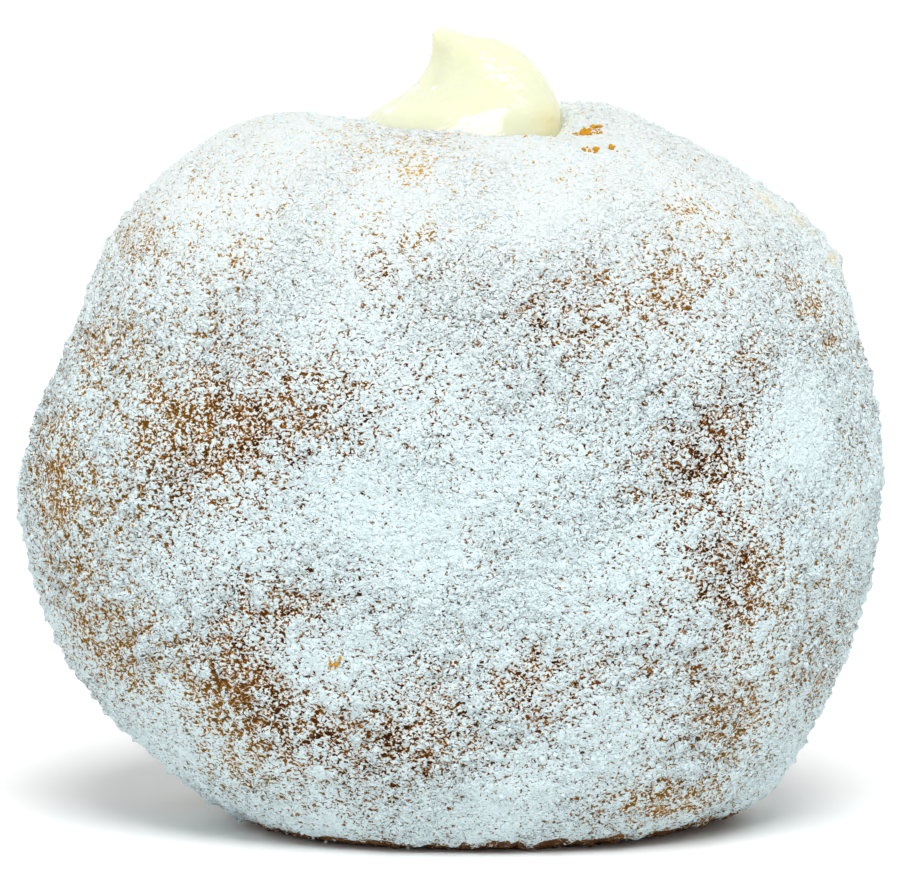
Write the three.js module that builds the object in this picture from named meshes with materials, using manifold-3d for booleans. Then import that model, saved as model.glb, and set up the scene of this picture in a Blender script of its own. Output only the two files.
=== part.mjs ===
// A cream-filled yeast doughnut, fried, dusted with sugar and stood on its rim with the piping hole up.
// Millimetres, +Z up. One fried face looks along -Y. The origin is on the flat foot, under the middle
// of the doughnut's box.
import * as THREE from "three";
import { mergeVertices } from "three/addons/utils/BufferGeometryUtils.js";
import Module from "manifold-3d";

const wasm = await Module();
wasm.setup();

// Driving dimensions of the dough.
const BUN_RADIUS = 43.2; // of the round outline, seen on a fried face
const BUN_THICKNESS = 53; // from one fried face to the other
const BUN_FULLNESS = 2.35; // 2 is an ellipse in section, and more squares the rim
const BUN_DETAIL = 16; // splits of each edge of the icosahedron that carries the skin
const FOOT_DROP = 34.3; // from the middle of the bun down to the flat it stands on
const FOOT_ROUNDING = 1.3; // how softly the skin turns into the flat
const FOOT_TRIM = 0.4; // the slice below the flat that is cut away

// Where the dough rose or sank, as it shows on the outline. "at" is the angle round the face from
// the right-hand side, "tilt" leans towards the back, and "spread" is the half width along the rim
// and across it, all in degrees. "height" is in millimetres, and below zero for a dent.
const SWELLS = [
  { name: "right side", at: 356, tilt: 0, spread: [28, 40], height: 0.5 },
  { name: "right shoulder", at: 32, tilt: 0, spread: [10, 30], height: 2.6 },
  { name: "right haunch", at: 316, tilt: 0, spread: [10, 30], height: 2 },
  { name: "upper left flat", at: 158, tilt: 4, spread: [14, 34], height: -2.2 },
  { name: "left rim bulge", at: 183, tilt: 12, spread: [10, 18], height: 0.6 },
  { name: "lower left slope", at: 232, tilt: 0, spread: [25, 40], height: -3.6 },
  { name: "upper right slope", at: 56, tilt: 0, spread: [10, 30], height: -0.6 },
  { name: "left shoulder", at: 121, tilt: 0, spread: [8, 26], height: 0.3 },
  { name: "saddle at the hole", at: 91, tilt: -4, spread: [19, 28], height: -7.4 },
  { name: "dip left of the hole", at: 104, tilt: 9, spread: [6, 16], height: -1.6 },
  { name: "notch beside the hole", at: 77, tilt: -12, spread: [10, 13], height: -2.6 },
  { name: "lip behind the hole", at: 68, tilt: 13, spread: [6, 10], height: 0.7 },
  { name: "front cheek", at: 15, tilt: -55, spread: [30, 24], height: 0.9 },
  { name: "front hollow", at: 200, tilt: -52, spread: [26, 20], height: -0.8 },
  { name: "back cheek", at: 140, tilt: 58, spread: [30, 24], height: 1 },
  { name: "back hollow", at: 330, tilt: 50, spread: [26, 20], height: -0.8 },
];

// The pale band round the rim, which floated clear of the oil, is parted from each fried face by a crease.
const BAND_TILT = 22; // degrees from the rim's middle to the crease
const CREASE_SPREAD = 6; // degrees
const CREASE_DEPTH = 0.4;

// Low lumps left by the rise, as crossed waves over the skin.
const LUMP_LENGTH = 24;
const LUMP_HEIGHT = 0.12;
const LUMP_WAVES = 7;

// The cream, from the blind end of the piping channel up to the peak of the dollop.
const HOLE_X = 1.3; // the channel's place along the rim
const CREAM_GAP = 0.3; // between cream and dough
const CREAM_SIDES = 28;
const RINGS_A_STATION = 3;
const CREAM_DEPTH_SHARE = 0.94; // its front-to-back width against its width along the rim
// Stations up the cream: height above the foot, radius, and lean along the rim.
const CREAM_STATIONS = [
  { z: 34, radius: 0, lean: HOLE_X },
  { z: 35, radius: 2.6, lean: HOLE_X },
  { z: 38.5, radius: 4.2, lean: HOLE_X },
  { z: 57.5, radius: 4.5, lean: HOLE_X },
  { z: 64.5, radius: 6, lean: HOLE_X },
  { z: 68.3, radius: 8.4, lean: HOLE_X },
  { z: 71.1, radius: 9.7, lean: HOLE_X },
  { z: 73.3, radius: 8.5, lean: 2.4 },
  { z: 75.4, radius: 6.7, lean: 3.3 },
  { z: 77.6, radius: 5.2, lean: 3.1 },
  { z: 79.4, radius: 3.8, lean: 2 },
  { z: 80.6, radius: 1.5, lean: -0.2 },
  { z: 81, radius: 0, lean: -0.7 },
];
// The fold that runs down from the peak, where the cream curled over as the nozzle came away.
const FOLD_AT = -128; // degrees round the cream from +X, so in front and to the left
const FOLD_SPREAD = 24;
const FOLD_DEPTH = 0.2; // share of the radius
const FOLD_FROM = 72; // the height where it starts
const FOLD_FULL = 76.5; // the height where it is deepest

const radians = THREE.MathUtils.degToRad;

// A bell-shaped falloff: 1 at no distance, about a third at the spread.
function bell(distance, spread) {
  return Math.exp(-((distance / spread) ** 2));
}

// The smaller way round between two angles, in degrees.
function angleBetween(a, b) {
  const turn = THREE.MathUtils.euclideanModulo(a - b, 360);
  return Math.min(turn, 360 - turn);
}

// A geometry with one vertex at each place, which is what a closed solid needs.
function welded(geometry) {
  geometry.deleteAttribute("normal");
  geometry.deleteAttribute("uv");
  return mergeVertices(geometry, 1e-4);
}

function solidOf(geometry) {
  return new wasm.Manifold(
    new wasm.Mesh({
      numProp: 3,
      vertProperties: new Float32Array(geometry.attributes.position.array),
      triVerts: new Uint32Array(geometry.index.array),
    }),
  );
}

function geometryOf(solid) {
  const { vertProperties, triVerts } = solid.getMesh();
  const geometry = new THREE.BufferGeometry();
  geometry.setAttribute("position", new THREE.BufferAttribute(vertProperties, 3));
  geometry.setIndex(new THREE.BufferAttribute(triVerts, 1));
  geometry.computeVertexNormals();
  return geometry;
}

// How far the skin stands out from the plain bun, in a direction from its middle.
function swellAt(direction) {
  const at = THREE.MathUtils.radToDeg(Math.atan2(direction.z, direction.x));
  const tilt = THREE.MathUtils.radToDeg(Math.asin(THREE.MathUtils.clamp(direction.y, -1, 1)));
  const rimShare = Math.cos(radians(tilt)); // an angle round the face means less towards its middle
  let height = 0;
  for (const swell of SWELLS) {
    const along = angleBetween(at, swell.at) * rimShare;
    height += swell.height * bell(along, swell.spread[0]) * bell(tilt - swell.tilt, swell.spread[1]);
  }
  return height - CREASE_DEPTH * bell(Math.abs(tilt) - BAND_TILT, CREASE_SPREAD);
}

// Crossed waves whose directions are spread evenly by the golden angle.
function lumpAt(point) {
  const goldenAngle = Math.PI * (3 - Math.sqrt(5));
  let height = 0;
  for (let i = 0; i < LUMP_WAVES; i++) {
    const rise = 1 - (2 * (i + 0.5)) / LUMP_WAVES;
    const reach = Math.sqrt(1 - rise * rise);
    const wave = new THREE.Vector3(
      reach * Math.cos(i * goldenAngle),
      reach * Math.sin(i * goldenAngle),
      rise,
    );
    height += Math.sin((2 * Math.PI * wave.dot(point)) / LUMP_LENGTH + i * i);
  }
  return LUMP_HEIGHT * height;
}

// The height of the skin once the soft dough has settled on the surface under it.
function settled(z) {
  return FOOT_ROUNDING * Math.log1p(Math.exp((z + FOOT_TRIM) / FOOT_ROUNDING)) - FOOT_TRIM;
}

// The risen bun before it is filled: a squared-off ellipsoid with its swells, dents, creases and lumps.
function bunGeometry() {
  const geometry = welded(new THREE.IcosahedronGeometry(1, BUN_DETAIL));
  const position = geometry.attributes.position;
  const direction = new THREE.Vector3();
  const point = new THREE.Vector3();
  for (let i = 0; i < position.count; i++) {
    direction.fromBufferAttribute(position, i).normalize();
    const rim = Math.hypot(direction.x, direction.z);
    const full =
      (rim ** BUN_FULLNESS + Math.abs(direction.y) ** BUN_FULLNESS) ** (-1 / BUN_FULLNESS);
    point.set(
      direction.x * full * BUN_RADIUS,
      (direction.y * full * BUN_THICKNESS) / 2,
      direction.z * full * BUN_RADIUS,
    );
    point.addScaledVector(direction, swellAt(direction) + lumpAt(point));
    position.setXYZ(i, point.x, point.y, settled(point.z + FOOT_DROP));
  }
  return geometry;
}

// Everything under the flat that the doughnut stands on.
function belowFoot() {
  const box = new THREE.BoxGeometry(4 * BUN_RADIUS, 4 * BUN_RADIUS, BUN_RADIUS);
  box.translate(0, 0, -BUN_RADIUS / 2);
  return welded(box);
}

// The cream as a stack of rings that lean along the rim. "grow" makes it that much fatter all round.
function creamGeometry(grow) {
  const stations = CREAM_STATIONS.map((s) => new THREE.Vector3(s.radius, s.lean, s.z));
  const steps = RINGS_A_STATION * (stations.length - 1);
  const rings = new THREE.CatmullRomCurve3(stations).getPoints(steps);
  const profile = rings.map((ring) => new THREE.Vector2(ring.x, ring.z));
  const lathe = new THREE.LatheGeometry(profile, CREAM_SIDES);
  const position = lathe.attributes.position;
  for (let i = 0; i < position.count; i++) {
    const step = i % rings.length;
    const ring = rings[step];
    const angle = Math.atan2(-position.getZ(i), position.getX(i));
    const away = angleBetween(THREE.MathUtils.radToDeg(angle), FOLD_AT);
    const folded = THREE.MathUtils.smoothstep(ring.z, FOLD_FROM, FOLD_FULL);
    const onAxis = step === 0 || step === steps;
    const radius = onAxis ? 0 : ring.x * (1 - FOLD_DEPTH * folded * bell(away, FOLD_SPREAD)) + grow;
    position.setXYZ(
      i,
      ring.y + radius * Math.cos(angle),
      radius * Math.sin(angle) * CREAM_DEPTH_SHARE,
      ring.z - (step === 0 ? grow : 0),
    );
  }
  return welded(lathe);
}

const crust = new THREE.MeshStandardMaterial({ color: 0xe6eff0, roughness: 0.95, metalness: 0 });
const custard = new THREE.MeshStandardMaterial({ color: 0xfaf6cf, roughness: 0.25, metalness: 0 });

const dough = solidOf(bunGeometry())
  .subtract(solidOf(belowFoot()))
  .subtract(solidOf(creamGeometry(CREAM_GAP)));

const doughMesh = new THREE.Mesh(geometryOf(dough), crust);
doughMesh.name = "dough";
const creamMesh = new THREE.Mesh(creamGeometry(0), custard);
creamMesh.name = "cream";

// The swells leave the bun a little off centre, so the whole is set over the middle of its box.
const doughnut = new THREE.Group();
doughnut.add(doughMesh, creamMesh);
const middle = new THREE.Box3().setFromObject(doughnut).getCenter(new THREE.Vector3());
doughnut.position.set(-middle.x, -middle.y, 0);

export default doughnut;
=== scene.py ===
"""A filled sugar doughnut: fried dough under icing sugar, and a dollop of custard cream."""
import math

import bmesh
import bpy
import numpy as np
from mathutils import Matrix, Vector, noise


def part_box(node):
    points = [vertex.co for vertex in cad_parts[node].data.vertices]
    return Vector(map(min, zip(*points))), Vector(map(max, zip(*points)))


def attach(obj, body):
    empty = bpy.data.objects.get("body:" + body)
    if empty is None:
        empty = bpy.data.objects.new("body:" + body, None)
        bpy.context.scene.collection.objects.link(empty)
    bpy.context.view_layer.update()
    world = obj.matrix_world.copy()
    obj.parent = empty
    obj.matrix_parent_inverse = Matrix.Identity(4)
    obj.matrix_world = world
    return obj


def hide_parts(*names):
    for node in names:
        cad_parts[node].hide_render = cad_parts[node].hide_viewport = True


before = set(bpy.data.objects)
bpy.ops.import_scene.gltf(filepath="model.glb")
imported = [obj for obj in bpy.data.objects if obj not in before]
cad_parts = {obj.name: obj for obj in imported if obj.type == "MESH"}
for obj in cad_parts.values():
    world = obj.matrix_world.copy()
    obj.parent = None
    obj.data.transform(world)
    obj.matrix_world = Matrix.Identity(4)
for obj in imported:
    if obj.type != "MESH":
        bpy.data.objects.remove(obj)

scene = bpy.context.scene
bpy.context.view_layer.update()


# THE DOUGH
# A yeast bun, fried on both faces and settled on its rim. The skin is thin, dry fried crust, and icing sugar
# sifted over it lies in drifts, with the crust showing where the sugar is thin or was rubbed off.
MM = 0.001
SKIN_SPACING = 0.53 * MM  # between the skin's vertices, fine enough for drifts of 1 mm and more
FACET_ROUNDING = 24  # passes of smoothing, which take out the facets of the solid
FACET_PULL = 0.5  # how far each pass pulls a vertex to the mean of its neighbours
WELD_REACH = 0.001 * MM  # vertices closer than this are one
SEED_STEP = Vector((7.1, 3.7, 5.3))  # moves each seed to a part of the noise of its own


def new_object(name, data):
    """An object in the scene, with a mesh, a light or a camera."""
    made = bpy.data.objects.new(name, data)
    scene.collection.objects.link(made)
    return made


def working_copy(node_name, piece_name):
    """A new object with a copy of a CAD node's mesh, its vertices welded, and no materials."""
    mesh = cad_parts[node_name].data.copy()
    mesh.materials.clear()
    shape = bmesh.new()
    shape.from_mesh(mesh)
    bmesh.ops.remove_doubles(shape, verts=shape.verts, dist=WELD_REACH)
    shape.to_mesh(mesh)
    shape.free()
    return new_object(piece_name, mesh)


def apply_modifiers(piece):
    """Turns a piece's modifiers into its mesh."""
    graph = bpy.context.evaluated_depsgraph_get()
    piece.data = bpy.data.meshes.new_from_object(piece.evaluated_get(graph))
    piece.modifiers.clear()


def points_of(mesh):
    """The vertices of a mesh and their normals, as two arrays of rows."""
    points = np.empty(len(mesh.vertices) * 3, dtype=np.float32)
    normals = np.empty(len(mesh.vertices) * 3, dtype=np.float32)
    mesh.vertices.foreach_get("co", points)
    mesh.vertex_normals.foreach_get("vector", normals)
    return points.reshape(-1, 3).astype(float), normals.reshape(-1, 3).astype(float)


def move_points(mesh, points):
    """Moves the vertices of a mesh to the rows of an array."""
    mesh.vertices.foreach_set("co", points.astype(np.float32).ravel())
    mesh.update()


def lumps(points, size, seed):
    """Smooth noise from about -1 to 1 at each point, with lumps about half of size across."""
    shift = SEED_STEP * seed
    return np.array([noise.noise(Vector(point) / size + shift) for point in points])


def smooth_step(value, start, end):
    """Goes smoothly from 0 where the value is at start to 1 where it is at end, whichever is the higher."""
    share = np.clip((value - start) / (end - start), 0, 1)
    return share * share * (3 - 2 * share)


def set_attribute(mesh, name, values):
    """Stores a number for each vertex."""
    layer = mesh.attributes.new(name, "FLOAT", "POINT")
    layer.data.foreach_set("value", values.astype(np.float32))


dough = working_copy("dough", "dough_skin")
even = dough.modifiers.new("even_mesh", "REMESH")
even.mode = "VOXEL"
even.voxel_size = SKIN_SPACING
soften = dough.modifiers.new("no_facets", "SMOOTH")
soften.factor = FACET_PULL
soften.iterations = FACET_ROUNDING
apply_modifiers(dough)
skin, outward = points_of(dough.data)
skin_x, _, skin_z = (skin / MM).T  # the places before the sugar's relief, in millimetres

# The wall of the piping channel, which the cream hides, stays plain.
CHANNEL_RADIUS = 10.4 * MM  # a little more than the mouth of the channel
CHANNEL_FACING = 0.3  # how squarely its wall faces the middle, where 1 is straight on
CHANNEL_BELOW = 1 * MM  # how far it reaches below the cream
cream_low, cream_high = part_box("cream")
cream_middle = (Vector(cream_low) + Vector(cream_high)) / 2
to_channel = np.array(cream_middle.xy) - skin[:, :2]
from_channel = np.linalg.norm(to_channel, axis=1)
in_channel = from_channel < CHANNEL_RADIUS
in_channel &= (to_channel * outward[:, :2]).sum(axis=1) > CHANNEL_FACING * from_channel
in_channel &= skin[:, 2] > cream_low[2] - CHANNEL_BELOW

# Where the sugar is thin on the front face: a place along the rim and above the foot, half the width and half
# the height, all in millimetres, and how much thinner it is than elsewhere. Below zero, it is thicker.
THIN_SPOTS = {
    "left of the middle": (-23, 42.5, 13.2, 6.6, 1.98),
    "left, beside the large patch": (-11, 47.5, 8, 5, 0.45),
    "left, above": (-24, 53, 5, 5, 0.6),
    "left, below": (-27, 35, 6, 3.5, 0.45),
    "left, further below": (-26, 30.5, 5, 3.5, 0.55),
    "left, small patch": (-15.5, 26, 5.5, 3.4, 1.6),
    "left edge, upper": (-34, 51, 5, 4.2, 1.2),
    "left edge, outer": (-39.5, 37, 3.5, 6, 0.95),
    "left edge, inner": (-37, 32.5, 6, 8, 1.14),
    "left edge, low": (-39, 25.5, 3, 4, 0.5),
    "lower left, outer": (-33, 20.3, 5.6, 5.5, 1.75),
    "lower left, middle": (-21, 18, 6, 6.5, 1.76),
    "lower left, inner": (-17, 13.5, 6, 4.5, 0.85),
    "lower left, by the foot": (-20, 7.2, 6, 3, 0.95),
    "low, left of the middle": (-6, 11.8, 10, 4.5, 1.76),
    "low, middle": (-2, 19, 6, 4.5, 0.7),
    "low, by the foot": (-7.5, 5, 5, 3, 0.55),
    "low, right of the middle": (8.5, 17.3, 4.5, 5, 1.42),
    "low, further right": (15.5, 20.5, 5, 3, 0.8),
    "bottom, right of the middle": (14, 5, 3.5, 2.5, 0.5),
    "bottom right": (21.3, 5, 6, 3.4, 1.85),
    "right, upper": (25.7, 41.8, 4.5, 7, 1.56),
    "right, middle": (28, 27.5, 5.5, 7, 1.84),
    "right, lower": (26, 14.5, 5.5, 5, 1.25),
    "right, inner": (20, 38, 5, 4.5, 0.95),
    "right, inner and lower": (17.5, 25.5, 4, 3, 0.6),
    "right, inner and low": (19.5, 15, 3, 7, 0.4),
    "right, by the foot": (28.5, 11, 3, 4, 0.9),
    "right, above": (29.7, 49.3, 2.5, 2.5, 1.05),
    "right, above that": (34.3, 54.5, 2.5, 2.5, 0.5),
    "right edge": (38.5, 27, 2.5, 10, 0.5),
    "right edge, upper": (38.8, 40, 2.5, 4, 0.8),
    "right edge, low": (36, 18, 5, 6, 1.05),
    "middle": (0, 45, 9, 3.5, 0.22),
    "above the middle": (9.5, 51.5, 8, 7, 0.66),
    "upper left": (-20.7, 60.5, 5, 5, 0.7),
    "upper left edge": (-31, 60.5, 5, 4, 1.5),
    "upper right": (14.5, 56, 7, 4.5, 1.0),
    "upper right, outer": (23, 55.8, 4.5, 3.5, 1.1),
    "upper right, above": (19.5, 61.5, 3, 3, 0.5),
    "upper right, rim": (30, 59.5, 5, 4, 0.4),
    "upper right edge": (37.5, 50, 4, 4, 1.25),
    "top left": (-22, 67.5, 6, 4, 0.4),
    "top right": (23.5, 63.1, 4, 4, 0.9),
    "below the hole": (-6.5, 59.5, 8, 4.5, 1.0),
    "left of the hole": (-5, 69.3, 7, 3.2, 1.18),
    "golden cluster under the hole": (-2.3, 61.4, 1.3, 0.7, 1.4),
    "golden cluster nearer the hole": (-3.3, 66.8, 1.5, 0.7, 1.1),
    "golden cluster, upper left": (-20.3, 58.2, 1, 1.3, 1.4),
    "golden cluster above it": (-25.3, 65.8, 1.2, 1.5, 1),
    "golden cluster, upper right": (23.7, 63.5, 1.2, 1, 1),
    "golden cluster beside it": (27, 60.6, 0.7, 0.7, 1.5),
    "golden cluster, right rim": (33, 56.4, 1.3, 1.2, 1.4),
    "golden cluster below it": (36, 53.5, 1.6, 0.7, 1.3),
    "golden cluster, right edge": (37.2, 50.3, 0.8, 0.6, 1.2),
    "thick drift left of the middle": (-8, 36.5, 8, 5, -0.6),
    "thick drift on the right": (35, 43.5, 4, 8, -0.9),
    "thick drift by the left edge": (-34.7, 40.5, 2.3, 2.4, -0.8),
    "thick drift left of the large patch": (-30.5, 46, 3, 3, -0.35),
    "thick drift between the left patches": (-14.8, 20.8, 3, 2.2, -0.5),
    "thick drift, upper left": (-15, 56, 4, 4, -0.5),
    "thick drift, upper right": (9, 61.5, 3, 3, -0.4),
    "thick drift by the foot": (2, 5, 5, 2.5, -0.4),
}
front_thin = np.zeros(len(skin))
for along, height, half_width, half_height, amount in THIN_SPOTS.values():
    across = (skin_x - along) / half_width
    up = (skin_z - height) / half_height
    front_thin += amount * np.exp(-(across**2) - up**2)

# The back isn't shown. Blotches of two sizes thin its sugar about as much: how much, their size and the seed.
BACK_THIN = 0.55
BACK_BLOTCHES = ((1.5, 26 * MM, 1), (0.7, 12 * MM, 2))
BACK_THINNEST = 2
FRONT_TO_BACK = 0.5  # of the normal's depth, over which the front gives way to the back round the rim
back_thin = np.full(len(skin), BACK_THIN)
for amount, size, seed in BACK_BLOTCHES:
    back_thin += amount * lumps(skin, size, seed)
in_front = np.clip(0.5 - outward[:, 1] / FRONT_TO_BACK, 0, 1)
thin = in_front * front_thin + (1 - in_front) * np.clip(back_thin, 0, BACK_THINNEST)

# Slight drifts lie all round.
DRIFT_SIZE = 8 * MM
DRIFT_COVER = 0.15
thin += DRIFT_COVER * lumps(skin, DRIFT_SIZE, seed=9)

# The powder packs into soft clods with creases between them, where the gaps in it gather.
LARGE_CLOD = 1.9 * MM
SMALL_CLOD = 1.1 * MM
SMALL_CLOD_HEIGHT = 0.8  # against a large one
CLOD_MEAN = 0.36  # of both, so that clods stand about as far above the coat as creases lie below it
CLOD_COVER = 2.2
clods = abs(lumps(skin, LARGE_CLOD, seed=3))
clods += SMALL_CLOD_HEIGHT * abs(lumps(skin, SMALL_CLOD, seed=4)) - CLOD_MEAN
thin -= CLOD_COVER * clods


def wavering(value, reach, size, seed):
    """A value for each vertex of the skin, moved up and down by noise that reaches about so far."""
    return value + reach * lumps(skin, size, seed)


# On top the coat is thick. Under the edge of the foot there is hardly any sugar, nor on the skin that turns
# down to it, except on the left. Each pair of values is where a change starts and where it is complete.
TOP_HEIGHT = (54, 62)  # millimetres
TOP_COVER = 0.45
FOOT_HEIGHT = (1.5, 0.7)  # millimetres
FOOT_TURN = (-0.8, -0.92)  # the normal's height
FOOT_LEFT = (-16, -8)  # millimetres along the rim
FOOT_THIN = 3.5
CHANNEL_THIN = -0.5
thin -= TOP_COVER * smooth_step(skin_z, *TOP_HEIGHT)
under = smooth_step(wavering(skin_z, reach=0.5, size=5 * MM, seed=10), *FOOT_HEIGHT)
turned_down = smooth_step(wavering(outward[:, 2], reach=0.1, size=3 * MM, seed=16), *FOOT_TURN)
under = np.maximum(under, turned_down * smooth_step(skin_x, *FOOT_LEFT))
thin += FOOT_THIN * under
thin[in_channel] = CHANNEL_THIN

# The level at which the fine noise is cut into gaps and sugar, in spreads of that noise. At 0 half is bare.
COVERED = -1.86  # away from the thin spots
LEVEL_LIMIT = 3
NOISE_MIDDLE = 0.5
FINE_SPREAD = 0.095  # the standard spread of the fine noise
level = np.clip(COVERED + thin, -LEVEL_LIMIT, LEVEL_LIMIT)
set_attribute(dough.data, "sugar_gap", NOISE_MIDDLE + FINE_SPREAD * level)


def linear(hex_colour):
    """A colour written as sRGB hex, as the linear red, green, blue and alpha that shaders take."""
    shares = [int(hex_colour[i:i + 2], 16) / 255 for i in (1, 3, 5)]
    bent = [share / 12.92 if share <= 0.04045 else ((share + 0.055) / 1.055) ** 2.4 for share in shares]
    return (*bent, 1.0)


def set_colours(mesh, name, base, *layers):
    """Stores a colour for each vertex: a base, and over it each further colour where its share is 1."""
    colours = np.tile(linear(base), (len(mesh.vertices), 1))
    for colour, share in layers:
        colours += (np.array(linear(colour)) - colours) * share[:, None]
    layer = mesh.attributes.new(name, "FLOAT_COLOR", "POINT")
    layer.data.foreach_set("color", colours.astype(np.float32).ravel())


# The fried faces are a mottled dark brown, and golden towards the rim, which floated clear of the oil. Their
# upper sides and their lower right are a lighter brown. The top is pale, and palest by the hole. The foot is
# a dull brown.
FACE_MIDDLE_X = 3  # millimetres along the rim
FACE_MIDDLE_Z = 34  # millimetres above the foot
GOLDEN_DISTANCE = (26, 38)  # millimetres from the middle of the face
PALE_HEIGHT = (55, 66)  # millimetres
MOTTLE_SIZE = 2.4 * MM
MOTTLE_CUT = (-0.3, 0.3)
LIGHTER_BROWN_SHARE = 0.75  # the share of the lighter brown
UPPER_HEIGHT = (42, 58)  # millimetres
SIDE_DISTANCE = (7, 17)  # millimetres from the middle of the face, along the rim
LOWER_RIGHT = (-2, 18)  # millimetres further along the rim than above the foot
BY_HOLE = (25, 17)  # millimetres from the middle of the hole
GOLDEN_CORE = 0.85  # the share of the golden brown in the painted shade at the middle of a gap
from_face_middle = np.hypot(skin_x - FACE_MIDDLE_X, skin_z - FACE_MIDDLE_Z)
golden = smooth_step(wavering(from_face_middle, reach=5, size=14 * MM, seed=5), *GOLDEN_DISTANCE)
pale = smooth_step(wavering(skin_z, reach=3, size=9 * MM, seed=8), *PALE_HEIGHT)
mottled = smooth_step(lumps(skin, MOTTLE_SIZE, seed=15), *MOTTLE_CUT)
upper_side = smooth_step(skin_z, *UPPER_HEIGHT) * smooth_step(abs(skin_x - FACE_MIDDLE_X), *SIDE_DISTANCE)
lighter_brown = LIGHTER_BROWN_SHARE * np.maximum(upper_side, smooth_step(skin_x - skin_z, *LOWER_RIGHT))
by_hole = pale * smooth_step(from_channel / MM, *BY_HOLE)
set_colours(
    dough.data, "crust_colour", "#a86e24",
    ("#bc863e", mottled),
    ("#c6964e", lighter_brown),
    ("#c49840", golden),
    ("#bc944a", pale),
    ("#dcba6a", by_hole),
    ("#a27a52", under),
)
# The same browns darkened, for the middle of a gap: the crust's own colour under painted shade.
set_colours(
    dough.data, "crust_with_painted_gap_shade", "#381a04",
    ("#663a0c", mottled),
    ("#82561c", lighter_brown),
    ("#8a5e16", golden * GOLDEN_CORE),
    ("#ac7a26", pale),
    ("#ce9e3c", by_hole),
    ("#785436", under),
)

# Fat has soaked into the sugar in a few smears that run down the right rim, which falls at 45 degrees there:
# the place, half the length and half the width, in millimetres, and how strong it is.
STAINS = {
    "top": (31.8, 63.6, 1.3, 0.4, 0.55),
    "next": (34.8, 61.7, 1.1, 0.35, 0.5),
    "third": (36.5, 60.2, 0.6, 0.25, 0.6),
    "on the lump": (38.4, 57.8, 0.6, 0.4, 0.8),
}
stained = np.zeros(len(skin))
for along, height, half_length, half_width, strength in STAINS.values():
    beside = skin_x - along
    above = skin_z - height
    down_rim = (beside - above) / (math.sqrt(2) * half_length)
    off_rim = (beside + above) / (math.sqrt(2) * half_width)
    stained = np.maximum(stained, strength * in_front * np.exp(-(down_rim**2) - off_rim**2))

# The sugar's cool cast is painted light that stands for cool shade, and higher up it is a warmer white,
# painted light from above. Beside a gap it is greyer with painted shade, or warmer where the coat is scant.
PAINTED_TOP_LIGHT_HEIGHT = (36, 76)  # millimetres
SCANT_LEVEL = (-1.3, -0.2)
set_colours(
    dough.data, "sugar_and_painted_light", "#e3f4f7",
    ("#e8eeed", smooth_step(skin_z, *PAINTED_TOP_LIGHT_HEIGHT)),
    ("#ead9a0", stained),
)
# Painted shade: the sugar beside a gap is grey, warmer where the coat is scant, and paler on the pale top.
set_colours(
    dough.data, "pit_shade_and_crust_tint", "#8e948f",
    ("#b4946a", smooth_step(level, *SCANT_LEVEL)),
    ("#dad2b4", pale),
)

# Thick drifts stand a little higher than the thin places. The clods are taller on the rim, and rougher in
# some places than in others. One lump of crust stands out on the right. Heights and places are in mm.
THICK_LEVEL = (-0.3, -2.2)
DRIFT_HEIGHT = 0.1
SWELL_HEIGHT = 0.25
SWELL_SIZE = 6 * MM
CLOD_HEIGHT = 0.52
RIM_CLOD_HEIGHT = 0.3  # added on the rim
RIM_FACING = (0.5, 0.15)  # how far the normal points to the front or the back
EVEN_COAT = 0.72  # the share of a clod's height where the coat is even
ROUGHER = 0.5  # added where it is rough
ROUGH_SIZE = 9 * MM
ROUGH_CUT = (-0.35, 0.35)
TOP_SMOOTHING = 0.45
DRIFT_SMOOTHING = 0.35
DRIFT_THINNESS = (-0.1, -0.6)
RIM_LUMP = (39.4, -1, 57.8)
RIM_LUMP_HEIGHT = 0.8
RIM_LUMP_RADIUS = 1
thick = smooth_step(level, *THICK_LEVEL)
rough = smooth_step(lumps(skin, ROUGH_SIZE, seed=12), *ROUGH_CUT)
uneven = EVEN_COAT + ROUGHER * rough - TOP_SMOOTHING * pale
uneven *= 1 - DRIFT_SMOOTHING * smooth_step(in_front * front_thin, *DRIFT_THINNESS)
set_attribute(dough.data, "coat_roughness", uneven)
clod_height = CLOD_HEIGHT + RIM_CLOD_HEIGHT * smooth_step(abs(outward[:, 1]), *RIM_FACING)
relief = thick * (DRIFT_HEIGHT + SWELL_HEIGHT * lumps(skin, SWELL_SIZE, seed=6))
relief += clod_height * uneven * clods
from_lump = np.linalg.norm(skin / MM - RIM_LUMP, axis=1)
relief += RIM_LUMP_HEIGHT * np.exp(-((from_lump / RIM_LUMP_RADIUS) ** 2))
relief[in_channel] = 0
skin += outward * (relief * MM)[:, None]
skin[:, 2] = np.maximum(skin[:, 2], 0)
move_points(dough.data, skin)
dough.data.shade_smooth()


def add_node(owner, kind, settings, inputs):
    """Adds a node to a material or the world, with its properties, and its inputs as values or links."""
    node = owner.node_tree.nodes.new(kind)
    for name, value in settings.items():
        setattr(node, name, value)
    for name, value in inputs.items():
        if isinstance(value, bpy.types.NodeSocket):
            owner.node_tree.links.new(value, node.inputs[name])
        else:
            node.inputs[name].default_value = value
    return node


def new_material(name):
    """A material with no nodes yet."""
    material = bpy.data.materials.new(name)
    material.use_nodes = True
    material.node_tree.nodes.clear()
    return material


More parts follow.
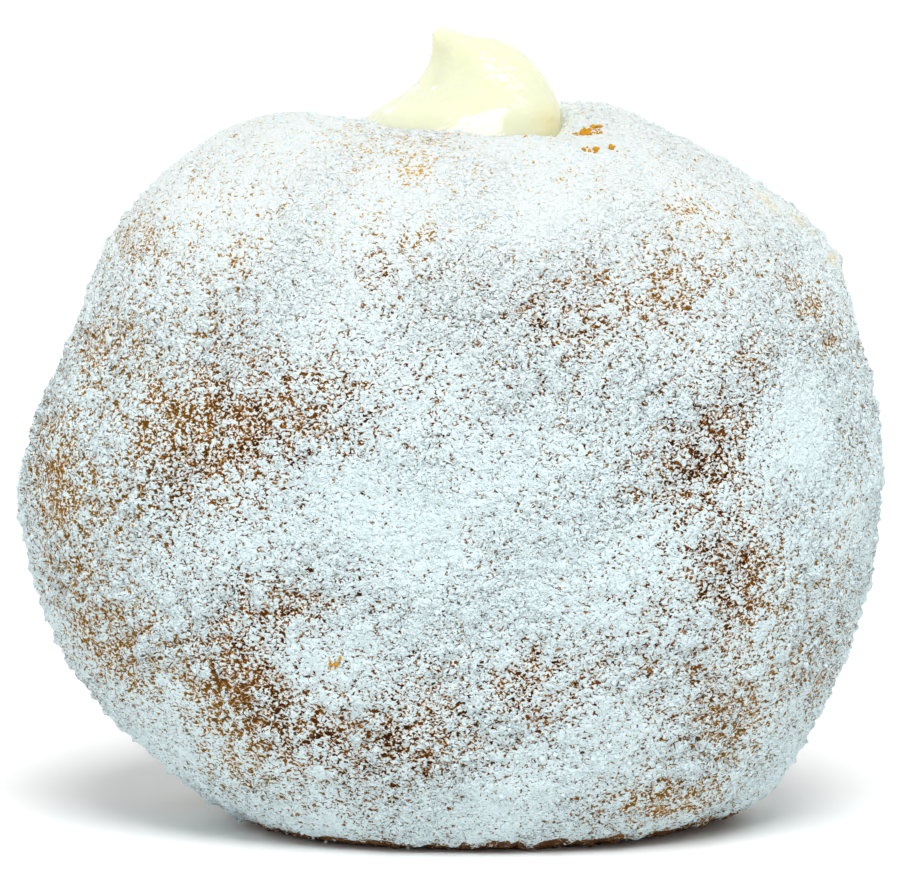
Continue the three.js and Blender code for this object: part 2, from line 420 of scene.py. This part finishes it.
# Icing sugar is a dry, matt white powder, its cool cast painted light that stands for cool shade. Fried crust
# is brown, and shows as short dark squiggles between the sugar's clumps, darkened with painted shade towards
# the middle of each and on the sugar beside it, with a warm veil where the sugar is thinnest.
GAP_PITCH = 0.325 * MM  # from one gap in the sugar to the next
GAP_STRETCH = (0.92, 1, 1.18)  # the powder slumps as it settles, so the gaps lie across the face
GAP_EDGE = 0.01  # of the noise's range, over which a gap's edge fades into sugar
PIT_SHADE_REACH = 0.07  # of the noise's range, over which painted shade darkens the sugar towards a gap
PIT_SHADE_STOP = 0.3 * GAP_EDGE  # of the noise's range, short of the gap, where the painted shade is darkest
CORE_SHADE_REACH = 0.07  # of the noise's range, over which painted shade darkens the crust towards the middle of a gap
VEIL_LEVEL = (-1.2, 0.6)  # the levels of sugar between which the veil comes in
VEIL_SHARE = 0.07  # of the crust's colour in the veil
PUFF_PITCH = 0.75 * MM  # of the smallest clods
PUFF_DEPTH = 0.9 * MM
GRAIN_DEPTH = 0.31 * MM
MIX_SHARE = 0  # the sockets of a mix node, which has more than one of each name
MIX_A = 6
MIX_B = 7
MIX_RESULT = 2

sugared = new_material("icing_sugar_over_fried_crust")
place = add_node(sugared, "ShaderNodeTexCoord", {}, {})
slumped = add_node(sugared, "ShaderNodeMapping", {}, {
    "Vector": place.outputs["Object"],
    "Scale": GAP_STRETCH,
})
fine = add_node(sugared, "ShaderNodeTexNoise", {}, {
    "Vector": slumped.outputs["Vector"],
    "Scale": 1 / GAP_PITCH,
    "Detail": 1.0,
    "Roughness": 0.5,
    "Distortion": 0.8,
})
cover = add_node(sugared, "ShaderNodeAttribute", {"attribute_name": "sugar_gap"}, {})
over = add_node(sugared, "ShaderNodeMath", {"operation": "SUBTRACT"}, {
    0: cover.outputs["Fac"],
    1: fine.outputs["Fac"],
})
gap = add_node(sugared, "ShaderNodeMapRange", {"interpolation_type": "SMOOTHSTEP"}, {
    "Value": over.outputs["Value"],
    "From Min": -GAP_EDGE / 2,
    "From Max": GAP_EDGE / 2,
})
# Painted shade in the gaps: the crust darkens towards their middle.
core = add_node(sugared, "ShaderNodeMapRange", {"interpolation_type": "SMOOTHSTEP"}, {
    "Value": over.outputs["Value"],
    "From Min": 0.0,
    "From Max": CORE_SHADE_REACH,
})
browned = add_node(sugared, "ShaderNodeAttribute", {"attribute_name": "crust_colour"}, {})
shaded_crust = add_node(sugared, "ShaderNodeAttribute", {"attribute_name": "crust_with_painted_gap_shade"}, {})
crust = add_node(sugared, "ShaderNodeMix", {"data_type": "RGBA"}, {
    MIX_SHARE: core.outputs["Result"],
    MIX_A: browned.outputs["Color"],
    MIX_B: shaded_crust.outputs["Color"],
})
# Painted light: the sugar's cool cast, and the warmer white higher up.
powder = add_node(sugared, "ShaderNodeAttribute", {"attribute_name": "sugar_and_painted_light"}, {})
# Painted shade in the pits beside the gaps.
painted_pit_shade = add_node(sugared, "ShaderNodeAttribute", {"attribute_name": "pit_shade_and_crust_tint"}, {})
pit = add_node(sugared, "ShaderNodeMapRange", {"interpolation_type": "SMOOTHSTEP"}, {
    "Value": over.outputs["Value"],
    "From Min": -PIT_SHADE_REACH,
    "From Max": -PIT_SHADE_STOP,
})
sugar = add_node(sugared, "ShaderNodeMix", {"data_type": "RGBA"}, {
    MIX_SHARE: pit.outputs["Result"],
    MIX_A: powder.outputs["Color"],
    MIX_B: painted_pit_shade.outputs["Color"],
})
veil = add_node(sugared, "ShaderNodeMapRange", {"interpolation_type": "SMOOTHSTEP"}, {
    "Value": cover.outputs["Fac"],
    "From Min": NOISE_MIDDLE + VEIL_LEVEL[0] * FINE_SPREAD,
    "From Max": NOISE_MIDDLE + VEIL_LEVEL[1] * FINE_SPREAD,
    "To Max": VEIL_SHARE,
})
veiled = add_node(sugared, "ShaderNodeMix", {"data_type": "RGBA"}, {
    MIX_SHARE: veil.outputs["Result"],
    MIX_A: sugar.outputs[MIX_RESULT],
    MIX_B: browned.outputs["Color"],
})
surface = add_node(sugared, "ShaderNodeMix", {"data_type": "RGBA"}, {
    MIX_SHARE: gap.outputs["Result"],
    MIX_A: veiled.outputs[MIX_RESULT],
    MIX_B: crust.outputs[MIX_RESULT],
})
puffs = add_node(sugared, "ShaderNodeTexNoise", {}, {
    "Vector": place.outputs["Object"],
    "Scale": 1 / PUFF_PITCH,
    "Detail": 2.0,
    "Roughness": 0.5,
})
rough_coat = add_node(sugared, "ShaderNodeAttribute", {"attribute_name": "coat_roughness"}, {})
puff_bump = add_node(sugared, "ShaderNodeBump", {}, {
    "Strength": rough_coat.outputs["Fac"],
    "Distance": PUFF_DEPTH,
    "Height": puffs.outputs["Fac"],
})
grain_bump = add_node(sugared, "ShaderNodeBump", {}, {
    "Strength": 1.0,
    "Distance": GRAIN_DEPTH,
    "Height": fine.outputs["Fac"],
    "Normal": puff_bump.outputs["Normal"],
})
coat = add_node(sugared, "ShaderNodeBsdfPrincipled", {}, {
    "Base Color": surface.outputs[MIX_RESULT],
    "Roughness": 0.9,
    "IOR": 1.5,
    "Specular IOR Level": 0.06,
    "Normal": grain_bump.outputs["Normal"],
})
add_node(sugared, "ShaderNodeOutputMaterial", {}, {"Surface": coat.outputs["BSDF"]})
dough.data.materials.append(sugared)
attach(dough, "root")
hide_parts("dough")


# THE CREAM
# Custard cream piped into the bun through the hole at its top. A dollop stands over the hole, with a peak
# that was pulled over to the left as the nozzle came away.
FLOW_LEVELS = 2  # of subdivision, which rounds the solid's facets
CREAM_SWELL = 0.4 * MM  # how far the soft cream bulges over the mouth of the channel
CREAM_SPREAD = 1.3 * MM  # how much further it spreads where it lies on the lip
# Each pair of values is where a change starts and where it is complete, in millimetres.
BULGE_HEIGHT = (75, 72)
SPREAD_HEIGHT = (71.8, 69.2)
STEM_HEIGHT = (66, 68.5)  # below it the stem keeps to the channel
HELD_PLACE = (4, 9)  # on the right, where the crust stands higher and holds the cream in
HELD_SHARE = 0.3
CRUST_REFLECTION_PLACE = (7.3, 10.5)  # on the right, where the cream lies on the crust and has a painted warm reflection of it
CRUST_REFLECTION_HEIGHT = (74.5, 71)
# The crease that the pull left on the left of the peak, and the round lip beside it: each from its top to its
# foot, with half its width and how far it stands out, in millimetres.
FOLDS = {
    "crease": ((-1.3, -1.8, 77.9), (-2.2, -3.2, 75.5), 1.1, -0.32),
    "lip": ((0.7, -2.9, 79), (0.2, -4.5, 75.4), 1.3, 0.4),
}
DIP_MIDDLE = np.array((2, 0, 80.2)) * MM  # a slight sag just right of the peak
DIP_WIDTH = 1.7 * MM
DIP_DEPTH = 0.35 * MM

cream = working_copy("cream", "custard_dollop")
round_off = cream.modifiers.new("smooth_flow", "SUBSURF")
round_off.levels = FLOW_LEVELS
round_off.render_levels = FLOW_LEVELS
apply_modifiers(cream)
flow, flow_out = points_of(cream.data)
flow_x, _, flow_z = (flow / MM).T
swell = CREAM_SWELL * smooth_step(flow_z, *BULGE_HEIGHT)
swell += CREAM_SPREAD * smooth_step(flow_z, *SPREAD_HEIGHT)
swell *= smooth_step(flow_z, *STEM_HEIGHT) * (1 - HELD_SHARE * smooth_step(flow_x, *HELD_PLACE))
flow += flow_out * swell[:, None]
for top, foot, half_width, rise in FOLDS.values():
    run = np.subtract(foot, top)
    from_top = flow / MM - top
    along_fold = np.clip(from_top @ run / (run @ run), 0, 1)
    from_fold = np.linalg.norm(from_top - along_fold[:, None] * run, axis=1)
    flow += flow_out * (rise * MM * np.exp(-((from_fold / half_width) ** 2)))[:, None]
from_dip = np.linalg.norm(flow - DIP_MIDDLE, axis=1)
flow[:, 2] -= DIP_DEPTH * np.exp(-((from_dip / DIP_WIDTH) ** 2))
move_points(cream.data, flow)
cream.data.shade_smooth()
# Painted reflection: the cream is yellower low on the right, where warm light off the crust falls on it.
crust_reflection = smooth_step(flow[:, 0] / MM, *CRUST_REFLECTION_PLACE) * smooth_step(flow[:, 2] / MM, *CRUST_REFLECTION_HEIGHT)
set_colours(cream.data, "custard_colour", "#e5e8ca", ("#ece3b2", crust_reflection))

# Custard cream is smooth and wet, and light spreads a few millimetres in it, which softens its shade.
PULL_SLOPE = math.radians(27)  # the streaks rise to the right, as the cream was drawn
PULL_STRETCH = 1.6
RIPPLE_PITCH = 1.3 * MM
RIPPLE_DEPTH = 0.17 * MM
LIGHT_SPREAD = 3 * MM
custard = new_material("custard_cream")
custard_place = add_node(custard, "ShaderNodeTexCoord", {}, {})
along_pull = add_node(custard, "ShaderNodeMapping", {"vector_type": "TEXTURE"}, {
    "Vector": custard_place.outputs["Object"],
    "Rotation": (0, -PULL_SLOPE, 0),
    "Scale": (PULL_STRETCH, 1, 1),
})
ripple = add_node(custard, "ShaderNodeTexNoise", {}, {
    "Vector": along_pull.outputs["Vector"],
    "Scale": 1 / RIPPLE_PITCH,
    "Detail": 2.0,
})
ripple_bump = add_node(custard, "ShaderNodeBump", {}, {
    "Strength": 1.0,
    "Distance": RIPPLE_DEPTH,
    "Height": ripple.outputs["Fac"],
})
custard_colour = add_node(custard, "ShaderNodeAttribute", {"attribute_name": "custard_colour"}, {})
custard_body = add_node(custard, "ShaderNodeBsdfPrincipled", {}, {
    "Base Color": custard_colour.outputs["Color"],
    "Roughness": 0.12,
    "IOR": 1.45,
    "Subsurface Weight": 0.8,
    "Subsurface Radius": (1.0, 0.9, 0.6),
    "Subsurface Scale": LIGHT_SPREAD,
    "Normal": ripple_bump.outputs["Normal"],
})
add_node(custard, "ShaderNodeOutputMaterial", {}, {"Surface": custard_body.outputs["BSDF"]})
cream.data.materials.append(custard)
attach(cream, "root")
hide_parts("cream")


# LOOSE SUGAR
# Clumps of icing sugar that fell on the coat last. Each is a small irregular lump of damp powder, pressed a
# little way into the coat, and most lie where it is thick.
CLUMP_COUNT = 9000
CLUMP_SIZE = (0.16 * MM, 0.56 * MM)
CLUMPS_ON_THIN = 0.15  # the share that a thin coat has, to which a thick one adds 1
SIZE_POWER = 3  # an even draw to this power picks the size, so most lumps are small
LUMP_STRETCH = (0.65, 1.25)
LUMP_DENTS = (0.8, 1.2)
LUMP_RISE = 0.08  # of its size, from the coat to the middle of a lump
draw = np.random.default_rng(17)


def random_places(mesh, count, weight):
    """Places on the faces of a mesh, and the normals there. The weight of a vertex is its share of them."""
    mesh.calc_loop_triangles()
    corners = np.empty(len(mesh.loop_triangles) * 3, dtype=np.int32)
    mesh.loop_triangles.foreach_get("vertices", corners)
    corners = corners.reshape(-1, 3)
    points, normals = points_of(mesh)
    first, second, third = (points[corners[:, i]] for i in range(3))
    doubled_area = np.linalg.norm(np.cross(second - first, third - first), axis=1)
    chance = doubled_area * weight[corners].mean(axis=1)
    face = draw.choice(len(corners), size=count, p=chance / chance.sum())
    share = draw.dirichlet((1, 1, 1), size=count)[:, :, None]
    return (points[corners[face]] * share).sum(axis=1), (normals[corners[face]] * share).sum(axis=1)


def random_turns(count):
    """Matrices that turn things any way round, from quaternions drawn evenly."""
    turn = draw.normal(size=(count, 4))
    w, x, y, z = (turn / np.linalg.norm(turn, axis=1)[:, None]).T
    rows = (
        (1 - 2 * (y * y + z * z), 2 * (x * y - z * w), 2 * (x * z + y * w)),
        (2 * (x * y + z * w), 1 - 2 * (x * x + z * z), 2 * (y * z - x * w)),
        (2 * (x * z - y * w), 2 * (y * z + x * w), 1 - 2 * (x * x + y * y)),
    )
    return np.moveaxis(np.array(rows), 2, 0)


def scattered(name, mesh, count, weight, size_range):
    """A piece of many small irregular lumps that lie on a mesh, none of them below the foot."""
    centre, normal = random_places(mesh, count, weight)
    small, large = size_range
    size = small + (large - small) * draw.random(count) ** SIZE_POWER
    shape = bmesh.new()
    bmesh.ops.create_icosphere(shape, subdivisions=1, radius=0.5)
    lump = np.array([vertex.co for vertex in shape.verts])
    faces = np.array([[vertex.index for vertex in polygon.verts] for polygon in shape.faces])
    shape.free()
    spin = random_turns(count)
    stretch = draw.uniform(*LUMP_STRETCH, size=(count, 1, 3))
    dents = draw.uniform(*LUMP_DENTS, size=(count, len(lump), 1))
    shaped = lump * stretch * dents * size[:, None, None]
    placed = np.einsum("nij,nkj->nki", spin, shaped)
    placed += (centre + normal * (size * LUMP_RISE)[:, None])[:, None, :]
    placed[:, :, 2] = np.maximum(placed[:, :, 2], 0)
    all_faces = faces + (np.arange(count) * len(lump))[:, None, None]
    result = bpy.data.meshes.new(name)
    result.from_pydata(placed.reshape(-1, 3).tolist(), [], all_faces.reshape(-1, 3).tolist())
    result.shade_smooth()
    return new_object(name, result)


clump_share = (CLUMPS_ON_THIN + thick) * ~in_channel
clumps = scattered("sugar_clumps", dough.data, CLUMP_COUNT, clump_share, CLUMP_SIZE)

# The same dry powder as the coat, without the crust, with the same painted cool cast that stands for shade.
powdery = new_material("icing_sugar")
powdery_body = add_node(powdery, "ShaderNodeBsdfPrincipled", {}, {
    "Base Color": linear("#dfedef"),
    "Roughness": 0.9,
    "IOR": 1.5,
    "Specular IOR Level": 0.06,
})
add_node(powdery, "ShaderNodeOutputMaterial", {}, {"Surface": powdery_body.outputs["BSDF"]})
clumps.data.materials.append(powdery)
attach(clumps, "root")


# CRUST CRUMBS
# Golden crumbs of fried crust that the nozzle broke off as it went in. They lie in the sugar, most of them
# in one cluster beside the hole.
CRUMB_COUNT = 90
CRUMB_SIZE = (0.28 * MM, 0.75 * MM)
# Each group's place and its reach, in millimetres.
CRUMB_GROUPS = {
    "right of the hole": ((13.6, -6.7, 70.45), 0.75),
    "beside it": ((14.6, -4.9, 71), 0.35),
    "under it": ((14, -13.7, 69), 0.32),
    "further right": ((16, -12.5, 69.1), 0.3),
    "at the lip": ((7.1, -11.8, 70.2), 0.2),
    "low on the left": ((-11, -24.9, 20.1), 0.33),
}
crumb_share = np.zeros(len(skin))
for middle, reach in CRUMB_GROUPS.values():
    from_middle = np.linalg.norm(skin / MM - middle, axis=1)
    crumb_share += np.exp(-((from_middle / reach) ** 2))
crumbs = scattered("crust_crumbs", dough.data, CRUMB_COUNT, crumb_share, CRUMB_SIZE)

# Fried crust from the pale rim: golden, dry and only faintly shiny with fat.
golden_crust = new_material("golden_crust")
golden_body = add_node(golden_crust, "ShaderNodeBsdfPrincipled", {}, {
    "Base Color": linear("#ce950a"),
    "Roughness": 0.7,
    "IOR": 1.47,
    "Specular IOR Level": 0.2,
})
add_node(golden_crust, "ShaderNodeOutputMaterial", {}, {"Surface": golden_body.outputs["BSDF"]})
crumbs.data.materials.append(golden_crust)
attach(crumbs, "root")


# THE STAGE
# A plain pale floor in an even white room. A soft key light shines from above in front, a fill from each side
# behind, strips that show only as sheen, and a low fill at each side. Lengths are in metres.
FLOOR_HALF = 60.0
FLOOR_CORNERS = ((-1, -1), (1, -1), (1, 1), (-1, 1))
floor_mesh = bpy.data.meshes.new("floor")
floor_mesh.from_pydata([(x * FLOOR_HALF, y * FLOOR_HALF, 0) for x, y in FLOOR_CORNERS], [], [(0, 1, 2, 3)])
floor = new_object("floor", floor_mesh)

# Smooth matt paper, nearly white, which shows a soft shadow and lights the doughnut a little from below.
paper = new_material("white_paper")
paper_body = add_node(paper, "ShaderNodeBsdfPrincipled", {}, {
    "Base Color": linear("#f9f9f9"),
    "Roughness": 0.9,
    "Specular IOR Level": 0.1,
})
add_node(paper, "ShaderNodeOutputMaterial", {}, {"Surface": paper_body.outputs["BSDF"]})
floor.data.materials.append(paper)

# The room lights the doughnut softly, but shows white in reflections, as a tent of white cloth would.
ROOM_LIGHT = 0.35
world = bpy.data.worlds.new("white_room")
world.use_nodes = True
ray = add_node(world, "ShaderNodeLightPath", {}, {})
seen = add_node(world, "ShaderNodeMath", {"operation": "MAXIMUM"}, {
    0: ray.outputs["Is Camera Ray"],
    1: ray.outputs["Is Glossy Ray"],
})
brightness = add_node(world, "ShaderNodeMapRange", {}, {
    "Value": seen.outputs["Value"],
    "To Min": ROOM_LIGHT,
    "To Max": 1.0,
})
room = world.node_tree.nodes["Background"]
room.inputs["Color"].default_value = linear("#ffffff")
world.node_tree.links.new(brightness.outputs["Result"], room.inputs["Strength"])
scene.world = world

# Light from far away: the way that it travels, its strength, of which 1 shows a white surface facing it as
# white, and how many degrees of the sky it comes from.
SUNS = {
    "key": ((-0.05, 0.58, -1), 0.77, 30),
    "back_left_fill": ((0.6, -0.75, -0.3), 0.28, 60),
    "back_right_fill": ((-0.6, -0.75, -0.3), 0.28, 60),
}
for name, (travel, strength, softness) in SUNS.items():
    light = bpy.data.lights.new(name, "SUN")
    light.energy = strength * math.pi
    light.angle = math.radians(softness)
    lamp = new_object(name, light)
    lamp.rotation_euler = Vector(travel).to_track_quat("-Z", "Y").to_euler()
    lamp.visible_glossy = False

# Soft strips that face the cream: the azimuth and elevation of each end, in degrees as seen from the cream,
# the width, and the radiance. Azimuth 0 is in front, and goes round to the right.
SHEEN_DISTANCE = 0.6
SHEEN_STRIPS = {
    "front_box": ((-16, 26), (52, 44), 0.4, 9),
    "right_strip": ((70, 61), (88, 42), 0.05, 9),
    "back_strip": ((-158, 32), (-150, 32), 0.05, 9),
}
FILL_DISTANCE = 0.5
SIDE_FILLS = {
    "left_fill": ((-75, 5), (-55, 20), 0.3, 1.1),
    "right_fill": ((45, 0), (70, 0), 0.2, 1.2),
}


def toward(azimuth, elevation, distance):
    """A place that far from the cream, in a direction in degrees."""
    turn = math.radians(azimuth)
    rise = math.radians(elevation)
    flat = distance * math.cos(rise)
    return cream_middle + Vector((flat * math.sin(turn), -flat * math.cos(turn), distance * math.sin(rise)))


def strip_light(name, start, end, width, radiance):
    """A soft strip from one place to another, facing the cream."""
    long_side = end - start
    middle = (start + end) / 2
    across = long_side.normalized()
    facing_away = (middle - cream_middle).normalized()
    up = facing_away.cross(across).normalized()
    light = bpy.data.lights.new(name, "AREA")
    light.shape = "RECTANGLE"
    light.size = long_side.length
    light.size_y = width
    light.energy = radiance * math.pi * light.size * light.size_y
    lamp = new_object(name, light)
    lamp.location = middle
    lamp.rotation_euler = Matrix((across, up, across.cross(up))).transposed().to_euler()
    return lamp


for name, (start, end, width, radiance) in SHEEN_STRIPS.items():
    sheen = strip_light(name, toward(*start, SHEEN_DISTANCE), toward(*end, SHEEN_DISTANCE), width, radiance)
    sheen.visible_diffuse = False
for name, (start, end, width, radiance) in SIDE_FILLS.items():
    strip_light(name, toward(*start, FILL_DISTANCE), toward(*end, FILL_DISTANCE), width, radiance)

CAMERA_RISE = math.radians(6)
CAMERA_DISTANCE = 0.4324
CAMERA_AIM = Vector((0, 0, 0.0392))
CAMERA_LENS = 170  # millimetres, with the sensor's width
SENSOR_WIDTH = 36
NEAREST_SEEN = 0.01
camera = bpy.data.cameras.new("camera")
camera.lens = CAMERA_LENS
camera.sensor_width = SENSOR_WIDTH
camera.clip_start = NEAREST_SEEN
view = new_object("camera", camera)
away = Vector((0, -math.cos(CAMERA_RISE), math.sin(CAMERA_RISE)))
view.location = CAMERA_AIM + away * CAMERA_DISTANCE
view.rotation_euler = (-away).to_track_quat("-Z", "Y").to_euler()
scene.camera = view
scene.view_settings.view_transform = "Standard"
